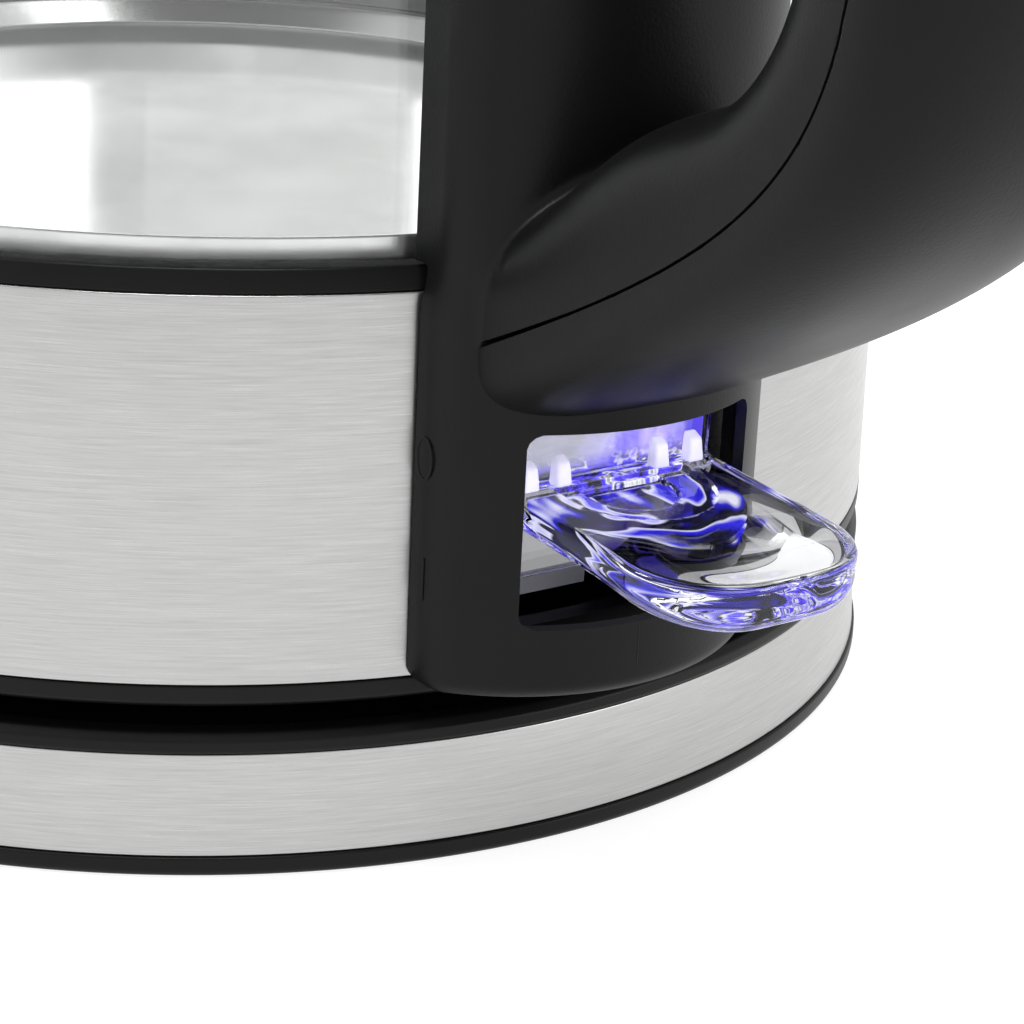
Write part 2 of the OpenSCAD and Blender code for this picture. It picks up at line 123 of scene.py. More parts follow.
def turned(name, outline, radii, body, material, replaces=(), segments=256):
    """A closed outline of (r, z) points turned round the jug's axis."""
    ring = fillet(outline, radii)
    n = len(ring)
    points = []
    for s in range(segments):
        a = 2 * math.pi * s / segments
        points += [(r * math.cos(a), r * math.sin(a), z) for r, z in ring]
    faces = []
    for s in range(segments):
        a, b = s * n, (s + 1) % segments * n
        faces += [(a + i, b + i, b + (i + 1) % n, a + (i + 1) % n) for i in range(n)]
    obj = add_piece(name, points, faces, body, material, replaces)
    weld_axis(obj)
    crisp(obj)
    return obj


def weld_axis(obj):
    """Joins the points of a turned form that fall together on its axis, and turns all faces outwards."""
    bm = bmesh.new()
    bm.from_mesh(obj.data)
    bmesh.ops.remove_doubles(bm, verts=bm.verts, dist=1e-6)
    bmesh.ops.recalc_face_normals(bm, faces=bm.faces)
    bm.to_mesh(obj.data)
    bm.free()


def crisp(obj, angle=35):
    """Smooth shading that stops at edges sharper than the angle."""
    obj.data.set_sharp_from_angle(angle=math.radians(angle))


# ---- free forms: a surface where a field of x, y, z is zero, negative inside ----

def meet(a, b, r=0.0):
    """The part inside both fields, with its edge rounded by r."""
    if r == 0:
        return np.maximum(a, b)
    u, v = np.maximum(a + r, 0), np.maximum(b + r, 0)
    return np.minimum(np.maximum(a, b), -r) + np.sqrt(u * u + v * v)


def join(a, b, r=0.0):
    """The part inside either field, with its inner corner filled by r, which may be a field itself."""
    u, v = np.maximum(r - a, 0), np.maximum(r - b, 0)
    return np.maximum(np.minimum(a, b), r) - np.sqrt(u * u + v * v)


def box_field(x, y, z, lower, upper, r=0.0):
    """A box between two corners, with its edges rounded by r."""
    q = [np.abs(c - (l + u) / 2) - (u - l) / 2 + r for c, l, u in zip((x, y, z), lower, upper)]
    out = sum(np.maximum(c, 0) ** 2 for c in q) ** 0.5
    return out + np.minimum(np.maximum(np.maximum(q[0], q[1]), q[2]), 0) - r


def slope(field, p, h):
    """Gradient of the field at points p."""
    made = np.empty_like(p)
    for a in range(3):
        d = np.zeros(3)
        d[a] = h
        made[:, a] = (field(*(p + d).T) - field(*(p - d).T)) / (2 * h)
    return made


def surface_of(field, lower, upper, step):
    """Points and quads of the surface where the field is zero: one point in each grid cell that it passes."""
    axes = [np.arange(l, u + step, step) for l, u in zip(lower, upper)]
    grid = np.meshgrid(*axes, indexing="ij")
    f = field(*grid)
    inside = f < 0
    cells = np.array(f.shape) - 1
    spots, quads = [], []
    for a in range(3):
        b, c = (a + 1) % 3, (a + 2) % 3
        first, second = [slice(None)] * 3, [slice(None)] * 3
        first[a], second[a] = slice(0, -1), slice(1, None)
        crossed = inside[tuple(first)] != inside[tuple(second)]
        at = np.argwhere(crossed)
        at = at[(at[:, b] > 0) & (at[:, b] < cells[b]) & (at[:, c] > 0) & (at[:, c] < cells[c])]
        nxt = at.copy()
        nxt[:, a] += 1
        f0, f1 = f[tuple(at.T)], f[tuple(nxt.T)]
        p = np.stack([axes[k][at[:, k]] for k in range(3)], 1)
        base, t = p[:, a].copy(), f0 / (f0 - f1)
        for _ in range(2):
            p[:, a] = base + step * t
            here = field(*p.T)
            same = (here < 0) == (f0 < 0)
            t_low, t_high = np.where(same, t, 0), np.where(same, 1, t)
            f_low, f_high = np.where(same, here, f0), np.where(same, f1, here)
            t = t_low + (t_high - t_low) * f_low / np.where(f_low == f_high, 1, f_low - f_high)
        p[:, a] = base + step * t
        around = []
        for db, dc in ((0, 0), (-1, 0), (-1, -1), (0, -1)):
            cell = at.copy()
            cell[:, b] += db
            cell[:, c] += dc
            around.append((cell[:, 0] * cells[1] + cell[:, 1]) * cells[2] + cell[:, 2])
        around = np.stack(around, 1)
        flip = inside[tuple(at.T)]
        around[~flip] = around[~flip][:, ::-1]
        quads.append(around)
        spots += [(around[:, k], p) for k in range(4)]
    quads = np.concatenate(quads)
    owner = np.concatenate([s[0] for s in spots])
    cross = np.concatenate([s[1] for s in spots])
    used, index = np.unique(owner, return_inverse=True)
    count = len(used)
    mean = np.stack([np.bincount(index, cross[:, k], count) for k in range(3)], 1)
    mean /= np.bincount(index, minlength=count)[:, None]
    points = sharpen(field, mean, index, cross, step)
    quads = np.searchsorted(used, quads)
    return points, quads


def sharpen(field, mean, index, cross, step):
    """Moves each cell's point to where the tangent planes of its crossings meet, so that edges stay crisp."""
    n = slope(field, cross, 0.01)
    n /= np.maximum(np.linalg.norm(n, axis=1), 1e-9)[:, None]
    count = len(mean)
    ata = np.zeros((count, 3, 3))
    for i in range(3):
        for j in range(3):
            ata[:, i, j] = np.bincount(index, n[:, i] * n[:, j], count)
    off = (n * (cross - mean[index])).sum(1)
    atb = np.stack([np.bincount(index, n[:, k] * off, count) for k in range(3)], 1)
    ata += np.eye(3) * 0.03
    move = np.linalg.solve(ata, atb[:, :, None])[:, :, 0]
    made = mean + np.clip(move, -step * 0.7, step * 0.7)
    for _ in range(2):
        n = slope(field, made, 0.01)
        n /= np.maximum((n * n).sum(1), 0.3)[:, None]
        made -= np.clip(n * field(*made.T)[:, None], -0.2 * step, 0.2 * step)
    return made


def corner_normals(field, points, quads, h, crease=30):
    """A normal for each face corner: the field's slope, or that of the corner's own side at a crease."""
    at_point = slope(field, points, h)
    at_point /= np.maximum(np.linalg.norm(at_point, axis=1), 1e-9)[:, None]
    corners = points[quads]
    face = np.cross(corners[:, 2] - corners[:, 0], corners[:, 3] - corners[:, 1])
    face /= np.maximum(np.linalg.norm(face, axis=1), 1e-12)[:, None]
    normals = at_point[quads]
    spread = (normals * face[:, None, :]).sum(2)
    worst = np.ones(len(points))
    np.minimum.at(worst, quads.ravel(), spread.ravel())
    sharp = worst[quads] < math.cos(math.radians(crease))
    centre = corners.mean(1)[:, None, :]
    inner = (corners + (centre - corners) * 0.5)[sharp]
    if len(inner):
        side = slope(field, inner, h)
        side /= np.maximum(np.linalg.norm(side, axis=1), 1e-9)[:, None]
        normals[sharp] = side
    return normals.reshape(-1, 3)


def formed(name, field, lower, upper, step, body, material, replaces=()):
    """A piece whose surface is where the field is zero."""
    points, quads = surface_of(field, lower, upper, step)
    obj = add_piece(name, points, quads, body, material, replaces)
    obj.data.normals_split_custom_set(corner_normals(field, points, quads, 0.05))
    return obj


# ---- materials ----

def new_material(name):
    """A node material and its Principled shader."""
    mat = bpy.data.materials.new(name)
    mat.use_nodes = True
    return mat, mat.node_tree, mat.node_tree.nodes["Principled BSDF"]


def link(tree, a, b):
    """Joins an output socket to an input socket."""
    tree.links.new(a, b)


def node(tree, kind, **settings):
    """A new node with its settings."""
    made = tree.nodes.new(kind)
    for key, value in settings.items():
        setattr(made, key, value)
    return made


def stretched(tree, scale):
    """Object coordinates times a scale on each axis."""
    where = node(tree, "ShaderNodeTexCoord")
    grow = node(tree, "ShaderNodeVectorMath", operation="MULTIPLY")
    grow.inputs[1].default_value = scale
    link(tree, where.outputs["Object"], grow.inputs[0])
    return grow.outputs[0]


def round_coords(tree, along, up):
    """Coordinates that run round the jug's axis: arc length times along, radius and height times up."""
    where = node(tree, "ShaderNodeTexCoord")
    parts = node(tree, "ShaderNodeSeparateXYZ")
    link(tree, where.outputs["Object"], parts.inputs[0])
    angle = node(tree, "ShaderNodeMath", operation="ARCTAN2")
    link(tree, parts.outputs["Y"], angle.inputs[0])
    link(tree, parts.outputs["X"], angle.inputs[1])
    far = node(tree, "ShaderNodeVectorMath", operation="LENGTH")
    flat = node(tree, "ShaderNodeCombineXYZ")
    link(tree, parts.outputs["X"], flat.inputs[0])
    link(tree, parts.outputs["Y"], flat.inputs[1])
    link(tree, flat.outputs[0], far.inputs[0])
    outs = []
    jug_r = 0.08
    scaled = ((angle.outputs[0], jug_r * along), (far.outputs["Value"], up), (parts.outputs["Z"], up))
    for source, scale in scaled:
        times = node(tree, "ShaderNodeMath", operation="MULTIPLY")
        times.inputs[1].default_value = scale
        link(tree, source, times.inputs[0])
        outs.append(times.outputs[0])
    made = node(tree, "ShaderNodeCombineXYZ")
    for source, target in zip(outs, made.inputs):
        link(tree, source, target)
    return made.outputs[0]


def noise(tree, vector, scale, detail=3, rough=0.5):
    """A noise value at a scale per metre."""
    made = node(tree, "ShaderNodeTexNoise")
    made.inputs["Scale"].default_value = scale
    made.inputs["Detail"].default_value = detail
    made.inputs["Roughness"].default_value = rough
    link(tree, vector, made.inputs["Vector"])
    return made.outputs["Fac"]


def ramp(tree, value, stops):
    """Maps a value to colours or greys at stops of (position, colour)."""
    made = node(tree, "ShaderNodeValToRGB")
    band = made.color_ramp
    while len(band.elements) < len(stops):
        band.elements.new(0.5)
    for element, (spot, colour) in zip(band.elements, stops):
        element.position = spot
        element.color = (*colour, 1) if hasattr(colour, "__len__") else (colour, colour, colour, 1)
    link(tree, value, made.inputs[0])
    return made.outputs[0]


def bumped(tree, shader, height, distance, strength=1.0):
    """Bump from a height value, with its depth in metres."""
    made = node(tree, "ShaderNodeBump")
    made.inputs["Strength"].default_value = strength
    made.inputs["Distance"].default_value = distance
    link(tree, height, made.inputs["Height"])
    link(tree, made.outputs[0], shader.inputs["Normal"])


def moulded(name, colour, rough=0.42, grain=0.00002, scale=2600, specular=0.5):
    """Moulded plastic: a fine even grain, a little cloudiness in tone and gloss."""
    mat, tree, shader = new_material(name)
    where = stretched(tree, (1, 1, 1))
    cloud = noise(tree, where, 60, 4)
    tone = ramp(tree, cloud, [(0.3, [c * 0.85 for c in colour]), (0.7, [c * 1.12 for c in colour])])
    link(tree, tone, shader.inputs["Base Color"])
    link(tree, ramp(tree, cloud, [(0.3, rough * 0.93), (0.7, rough * 1.07)]), shader.inputs["Roughness"])
    shader.inputs["Specular IOR Level"].default_value = specular
    bumped(tree, shader, noise(tree, where, scale, 2, 0.6), grain)
    return mat


def brushed(name, colour=(0.475, 0.472, 0.47), rough=0.3, along=150, up=9000, deep=0.000003):
    """Steel brushed round the jug: short fine streaks in tone, gloss and height."""
    mat, tree, shader = new_material(name)
    shader.inputs["Metallic"].default_value = 1.0
    streak = noise(tree, round_coords(tree, along, up), 1, 4, 0.65)
    broad = noise(tree, round_coords(tree, along * 0.25, up * 0.12), 1, 3, 0.6)
    both = node(tree, "ShaderNodeMath", operation="MULTIPLY_ADD")
    both.inputs[1].default_value = 0.85
    link(tree, streak, both.inputs[0])
    part = node(tree, "ShaderNodeMath", operation="MULTIPLY")
    part.inputs[1].default_value = 0.15
    link(tree, broad, part.inputs[0])
    link(tree, part.outputs[0], both.inputs[2])
    value = both.outputs[0]
    tone = ramp(tree, value, [(0.3, [c * 0.84 for c in colour]), (0.72, [min(c * 1.1, 1) for c in colour])])
    link(tree, tone, shader.inputs["Base Color"])
    link(tree, ramp(tree, value, [(0.3, rough * 1.2), (0.7, rough * 0.85)]), shader.inputs["Roughness"])
    bumped(tree, shader, streak, deep, 0.8)
    return mat


def polished(name, colour=(0.78, 0.78, 0.79), rough=0.16, scale=90):
    """Plain steel or brass with faint handling marks."""
    mat, tree, shader = new_material(name)
    shader.inputs["Metallic"].default_value = 1.0
    where = stretched(tree, (1, 1, 1))
    cloud = noise(tree, where, scale, 5, 0.6)
    tone = ramp(tree, cloud, [(0.25, [c * 0.9 for c in colour]), (0.75, colour)])
    link(tree, tone, shader.inputs["Base Color"])
    link(tree, ramp(tree, cloud, [(0.3, rough * 0.8), (0.7, rough * 1.4)]), shader.inputs["Roughness"])
    return mat


def see_through(name, colour, ior, scale=80, wave=0.00001):
    """Glass or clear plastic, with a slight waviness."""
    mat, tree, shader = new_material(name)
    shader.inputs["Base Color"].default_value = (*colour, 1)
    shader.inputs["Transmission Weight"].default_value = 1.0
    shader.inputs["Roughness"].default_value = 0.0
    shader.inputs["IOR"].default_value = ior
    bumped(tree, shader, noise(tree, stretched(tree, (1, 1, 1)), scale, 2), wave, 0.3)
    return mat


def glowing(name, colour, strength):
    """A lamp's lens that gives light, or painted light on a part that is no lamp."""
    mat, tree, shader = new_material(name)
    where = stretched(tree, (1, 1, 1))
    spot = noise(tree, where, 300, 2)
    tone = ramp(tree, spot, [(0.3, [c * 0.55 for c in colour]), (0.65, colour)])
    link(tree, tone, shader.inputs["Emission Color"])
    shader.inputs["Emission Strength"].default_value = strength
    shader.inputs["Base Color"].default_value = (*colour, 1)
    return mat


def stepped(tree, value, edge, width):
    """Rises from 0 to 1 where a value passes an edge."""
    made = node(tree, "ShaderNodeMapRange")
    made.inputs["From Min"].default_value = edge - width
    made.inputs["From Max"].default_value = edge + width
    link(tree, value, made.inputs["Value"])
    return made.outputs[0]


def mixed(tree, factor, a, b):
    """One colour, then another, by a factor."""
    made = node(tree, "ShaderNodeMix", data_type="RGBA")
    link(tree, factor, made.inputs[0])
    link(tree, a, made.inputs[6])
    link(tree, b, made.inputs[7])
    return made.outputs[2]


def painted_light_sheet_material():
    """A sheet behind the shield that glows with painted light, though it is no lamp: patches of painted light
    behind the paddle, a soft painted glow above, an even grey glow below.
    """
    mat, tree, shader = new_material("painted_light_sheet")
    where = node(tree, "ShaderNodeTexCoord")
    parts = node(tree, "ShaderNodeSeparateXYZ")
    link(tree, where.outputs["Object"], parts.inputs[0])
    shift = node(tree, "ShaderNodeMath", operation="MULTIPLY_ADD")
    shift.inputs[1].default_value = 0.016
    link(tree, noise(tree, stretched(tree, (1, 1, 0.6)), 160, 3, 0.6), shift.inputs[0])
    link(tree, parts.outputs["Y"], shift.inputs[2])
    glow = ramp(tree, stepped(tree, shift.outputs[0], 0.008, 0.013),
                [(0.0, (0.3, 0.3, 0.31)), (0.35, (0.5, 0.5, 0.6)), (0.5, (0.62, 0.58, 0.95)),
                 (0.62, (0.22, 0.16, 0.95)), (0.75, (0.6, 0.5, 1.0)), (0.85, (0.1, 0.07, 0.85)),
                 (1.0, (0.12, 0.08, 0.9))])
    patch = ramp(tree, noise(tree, stretched(tree, (1, 1, 1.5)), 260, 3, 0.65),
                 [(0.36, (0.0, 0.0, 0.01)), (0.42, (0.05, 0.02, 0.8)), (0.48, (0.12, 0.08, 1.0)),
                  (0.52, (0.95, 0.95, 1.0)), (0.56, (0.01, 0.01, 0.02)), (0.6, (0.08, 0.05, 0.9)),
                  (0.68, (1.0, 1.0, 1.0))])
    # painted light below the patches: an even grey glow
    plain = node(tree, "ShaderNodeRGB")
    plain.outputs[0].default_value = (0.3, 0.3, 0.3, 1)
    tone = mixed(tree, stepped(tree, parts.outputs["Z"], 0.0352, 0.0002), plain.outputs[0], patch)
    tone = mixed(tree, stepped(tree, parts.outputs["Z"], 0.0405, 0.001), tone, glow)
    link(tree, tone, shader.inputs["Emission Color"])
    shader.inputs["Emission Strength"].default_value = 1.0
    shader.inputs["Base Color"].default_value = (0.02, 0.02, 0.02, 1)
    shader.inputs["Roughness"].default_value = 0.5
    return mat


def painted_bands_material():
    """Painted light and painted reflections, which glow though no lamp, running round the paddle's stepped
    recess in bands of blue, white and black, and fading out.
    """
    mat, tree, shader = new_material("painted_light_bands")
    where = node(tree, "ShaderNodeTexCoord")
    parts = node(tree, "ShaderNodeSeparateXYZ")
    link(tree, where.outputs["Object"], parts.inputs[0])
    past = node(tree, "ShaderNodeMath", operation="SUBTRACT", use_clamp=True)
    past.inputs[1].default_value = 0.0855
    link(tree, parts.outputs["X"], past.inputs[0])
    flat = node(tree, "ShaderNodeCombineXYZ")
    link(tree, past.outputs[0], flat.inputs[0])
    link(tree, parts.outputs["Y"], flat.inputs[1])
    ring = node(tree, "ShaderNodeVectorMath", operation="LENGTH")
    link(tree, flat.outputs[0], ring.inputs[0])
    flow = node(tree, "ShaderNodeCombineXYZ")
    link(tree, ring.outputs["Value"], flow.inputs[0])
    for source, target in (("X", 1), ("Y", 2)):
        part = node(tree, "ShaderNodeMath", operation="MULTIPLY")
        part.inputs[1].default_value = 0.45
        link(tree, parts.outputs[source], part.inputs[0])
        link(tree, part.outputs[0], flow.inputs[target])
    # painted light and painted reflections: blue and white bands, black between
    tone = ramp(tree, noise(tree, flow.outputs[0], 170, 2, 0.5),
                [(0.34, (0.0, 0.0, 0.004)), (0.38, (0.01, 0.005, 0.5)), (0.44, (0.03, 0.02, 0.8)),
                 (0.48, (0.8, 0.8, 1.0)), (0.5, (0.0, 0.0, 0.01)), (0.56, (0.0, 0.0, 0.01)),
                 (0.6, (0.02, 0.01, 0.65)), (0.66, (0.9, 0.9, 1.0))])
    link(tree, tone, shader.inputs["Emission Color"])
    shader.inputs["Emission Strength"].default_value = 1.0
    shader.inputs["Base Color"].default_value = (0.01, 0.01, 0.02, 1)
    edge = node(tree, "ShaderNodeMath", operation="MULTIPLY_ADD")
    edge.inputs[1].default_value = 0.012
    link(tree, noise(tree, flow.outputs[0], 500, 2), edge.inputs[0])
    link(tree, parts.outputs["X"], edge.inputs[2])
    fade = ramp(tree, stepped(tree, edge.outputs[0], 0.101, 0.002), [(0, 1.0), (1, 0.0)])
    link(tree, fade, shader.inputs["Alpha"])
    return mat


BLACK = moulded("black_plastic", (0.0055, 0.0055, 0.0057), rough=0.38, specular=0.15)
GREY = moulded("grey_plastic", (0.03, 0.03, 0.031), rough=0.45)
RUBBER = moulded("rubber_pad", (0.03, 0.03, 0.03), rough=0.75, grain=0.00004, scale=1500, specular=0.3)
SILICONE = moulded("silicone_seal", (0.3, 0.3, 0.3), rough=0.5, grain=0.00001, scale=900, specular=0.4)
WHITE = moulded("white_plastic", (0.75, 0.75, 0.72), rough=0.5)
RED = moulded("red_plastic", (0.45, 0.04, 0.03), rough=0.4)
BOARD = moulded("circuit_board", (0.02, 0.12, 0.04), rough=0.35)
STEEL = brushed("brushed_steel")
STEEL_LID = brushed("brushed_steel_lid", rough=0.26)
STEEL_PLAIN = polished("plain_steel")
DISH = polished("dish_steel", (0.93, 0.93, 0.93), rough=0.1, scale=20)
LIP = polished("lip_steel", (0.95, 0.95, 0.95), rough=0.35)
ALUMINIUM = polished("aluminium", (0.7, 0.7, 0.71), rough=0.4)
BRASS = polished("brass", (0.75, 0.55, 0.25), rough=0.25)
SHEATH = polished("element_sheath", (0.4, 0.38, 0.35), rough=0.45)
GLASS = see_through("jug_glass", (0.985, 0.995, 0.99), 1.5)
CLEAR = see_through("clear_plastic", (0.97, 0.975, 1.0), 1.49, wave=0.00002, scale=160)
LAMP = glowing("blue_lamp", (0.2, 0.15, 1.0), 3)
# painted light: the frosted posts glow though they are no lamp
FROSTED_POST_PAINTED_GLOW = glowing("frosted_post_painted_glow", (0.8, 0.78, 1.0), 0.6)
# painted light: the sheet behind the shield glows though it is no lamp
PAINTED_LIGHT_SHEET = painted_light_sheet_material()
# painted light and painted reflections: bands inside the paddle that glow though they are no lamp
PAINTED_BANDS = painted_bands_material()

BY_SLOT = {"black_plastic": BLACK, "grey_plastic": GREY, "brushed_steel": STEEL, "plain_steel": STEEL_PLAIN,
           "rubber": RUBBER, "brass": BRASS, "glass": GLASS, "clear_plastic": CLEAR, "silicone": SILICONE,
           "white_plastic": WHITE, "aluminium": ALUMINIUM, "element_sheath": SHEATH, "red_plastic": RED,
           "white_wire": WHITE, "circuit_board": BOARD, "blue_lamp": LAMP}


def dress_nodes():
    """Gives every CAD node that stays the material of its record slot."""
    for row in frame["record"]["subparts"]:
        obj = frame["nodes"][row["node"]]
        obj.data.materials.clear()
        obj.data.materials.append(BY_SLOT[row["material_slot"]])
        obj.data.polygons.foreach_set("use_smooth", [True] * len(obj.data.polygons))
        crisp(obj, 30)


# ---- base ----

def build_base():
    """Foot ring, steel band and rounded deck of the powered base."""
    turned("base_foot",
           [(70, 2), (71, 0), (BASE_R, 0), (BASE_R - 0.05, 2.15), (78.4, 2.15), (78.4, 6),
            (76.4, 6), (76.4, 4), (0, 4), (0, 2)],
           [0.3, 0.3, 0.9, 0.25, 0, 0, 0, 0, 0, 0], "base", BLACK, ["base_cover"])
    turned("base_steel",
           [(BASE_R - 0.9, 2.2), (BASE_R - 0.35, 2.2), (RIM_R - 0.02, 12.8), (RIM_R - 0.6, 12.8)],
           [0, 0.15, 0.15, 0], "base", STEEL, ["base_band"])
    turned("base_top",
           [(14.6, 14.5), (22, 14.5), (24, 13), (72, 13), (75, 14.2), (76.6, 15), (78.4, 15),
            (RIM_R + 0.2, 14.2), (RIM_R + 0.2, 13.2), (RIM_R, 12.9), (78.2, 12.9), (78.2, 6.3),
            (76.6, 6.3), (76.6, 10.5), (72, 11), (14.6, 11)],
           [0.4, 0.5, 0.8, 1.5, 1, 0.6, 0.7, 0.5, 0.3, 0, 0, 0, 0, 0, 0, 0], "base", BLACK,
           ["base_deck"])


# ---- jug, below and round the glass ----

def build_jug():
    """Lower ring, glass, steel dish with its lip, and the collar round the glass's foot."""
    turned("jug_ring",
           [(11.7, 24.6), (16, 24.6), (16, 16.5), (62, 16.5), (62.4, 13.3), (67.6, 13.3), (68, 16.5),
            (74, 16.5), (77.6, 17.4), (79, 18.2), (79, WAIST_Z - 0.1), (74.8, WAIST_Z - 0.1),
            (74.8, 18.6), (18, 18.6), (18, 26.6), (11.7, 26.6)],
           [0, 0.4, 0.4, 0.4, 0.3, 0.3, 0.4, 1, 0.8, 0.6, 0.2, 0, 0, 0.4, 0.4, 0],
           "jug", BLACK, ["jug_floor"])
    turned("glass_jug",
           [(GLASS_R - 3, 57.3), (GLASS_R, 57.3), (GLASS_R, 62), (GLASS_R - 0.7, GLASS_TOP),
            (GLASS_R - 3.7, GLASS_TOP), (GLASS_R - 3, 62)],
           [0.3, 0.3, 8, 0.9, 0.9, 8], "jug", GLASS, ["glass_body"])
    turned("steel_dish",
           [(0, 52), (64.3, 52), (68.6, 54.2), (75, 54.2), (75, 55), (68.3, 55), (64, 52.8), (0, 52.8)],
           [0, 2.5, 0.5, 0.2, 0.2, 0.6, 1.5, 0], "jug", DISH, ["heater_plate"])
    turned("dish_lip",
           [(71.9, 58), (72.45, 58), (72.45, 63.1), (71.9, 63.1)],
           [0, 0, 0.25, 0.2], "jug", LIP)
    turned("glass_collar",
           [(GLASS_R + 0.15, 56.3), (77.4, 56.3), (77.4, WAIST_TOP + 0.1), (78.25, WAIST_TOP + 0.1),
            (77.4, 61.2), (GLASS_R + 0.15, 61.5)],
           [0, 0, 0, 0.15, 0.5, 0.15], "jug", BLACK, ["jug_collar"])


def build_waist():
    """The jug's steel band, left open behind the switch housing."""
    gap_half, thick, taper = 15.5, 0.6, 0.68
    span = math.asin(gap_half / WAIST_R)
    steps = 300
    top_r = WAIST_R - taper
    outline = [(WAIST_R - thick, WAIST_Z), (WAIST_R, WAIST_Z), (top_r, WAIST_TOP), (top_r - thick, WAIST_TOP)]
    ring = fillet(outline, [0, 0.18, 0.18, 0])
    n = len(ring)
    points, faces = [], []
    for s in range(steps + 1):
        a = span + (2 * math.pi - 2 * span) * s / steps
        points += [(r * math.cos(a), r * math.sin(a), z) for r, z in ring]
    for s in range(steps):
        a, b = s * n, (s + 1) * n
        faces += [(a + i, b + i, b + (i + 1) % n, a + (i + 1) % n) for i in range(n)]
    faces += [tuple(range(n)), tuple(range(steps * n + n - 1, steps * n - 1, -1))]
    obj = add_piece("steel_waist", points, faces, "jug", STEEL, ["jug_band"])
    weld_axis(obj)
    crisp(obj)


# ---- handle ----

GRIP_INNER = 14.2           # depth of the grip from its seam towards the jug
GRIP_OUTER = 10.1           # depth of the grip from its seam away from the jug
GRIP_HALF = 17.5            # half the grip's width
GRIP_POWER = 2.3            # squareness of the grip's section: 2 is an ellipse
GRIP_X = high("handle_cover", "x") - GRIP_OUTER - 0.1
LOW_ARM = [(83.5, 55.5), (117.6, 72.3), (GRIP_X, 81.2), (GRIP_X, 102)]
TOP_ARM = [(GRIP_X, 158), (GRIP_X, 188), (112, 207), (82, 209)]
SEAM = 0.14                 # half the gap between the handle's two halves
ARM_BACK = 8                # how far both arms run on at their ends, in lengths of four steps of the line
COVER_BACK = 80.5           # where the cover ends, inside the switch housing
COVER_BACK_TOP = 82         # where it ends at the top arm


def bezier(p, t):
    """A point on a cubic curve of four (x, z) points."""
    p, t = np.array(p, float), np.asarray(t)[:, None]
    return (1 - t) ** 3 * p[0] + 3 * (1 - t) ** 2 * t * p[1] + 3 * (1 - t) * t * t * p[2] + t ** 3 * p[3]


def handle_line():
    """Stations down the middle of the handle: x, z, inner depth, outer depth, half width, squareness."""
    root_inner, root_outer, top_depth = 9.5, 8.3, 12
    t = np.linspace(0, 1, 240)
    lower, upper = bezier(LOW_ARM, t), bezier(TOP_ARM, t)
    swell = 3.6 * np.exp(-((t - 0.24) / 0.16) ** 2)     # the ridge where the arm leaves the spine
    inner = root_inner + (GRIP_INNER - root_inner) * t ** 1.25 + swell
    outer = root_outer + (GRIP_OUTER - root_outer) * t ** 3
    rows = [np.column_stack([lower, inner, outer, 17.1 + 0.4 * t, 3.1 - 0.8 * t])]
    straight = np.linspace(lower[-1, 1], upper[0, 1], 40)[1:-1]
    rows.append(np.array([[GRIP_X, z, GRIP_INNER, GRIP_OUTER, GRIP_HALF, GRIP_POWER] for z in straight]))
    inner = GRIP_INNER + (top_depth - GRIP_INNER) * t
    outer = GRIP_OUTER + (top_depth - GRIP_OUTER) * t
    rows.append(np.column_stack([upper, inner, outer, GRIP_HALF - 0.5 * t, GRIP_POWER + 0.7 * t]))
    made = np.concatenate(rows)
    ahead = np.array([ARM_BACK * (made[0, :2] - made[4, :2]), ARM_BACK * (made[-1, :2] - made[-5, :2])])
    first, last = made[0].copy(), made[-1].copy()
    first[:2] += ahead[0]
    last[:2] += ahead[1]
    return np.concatenate([[first], made, [last]])


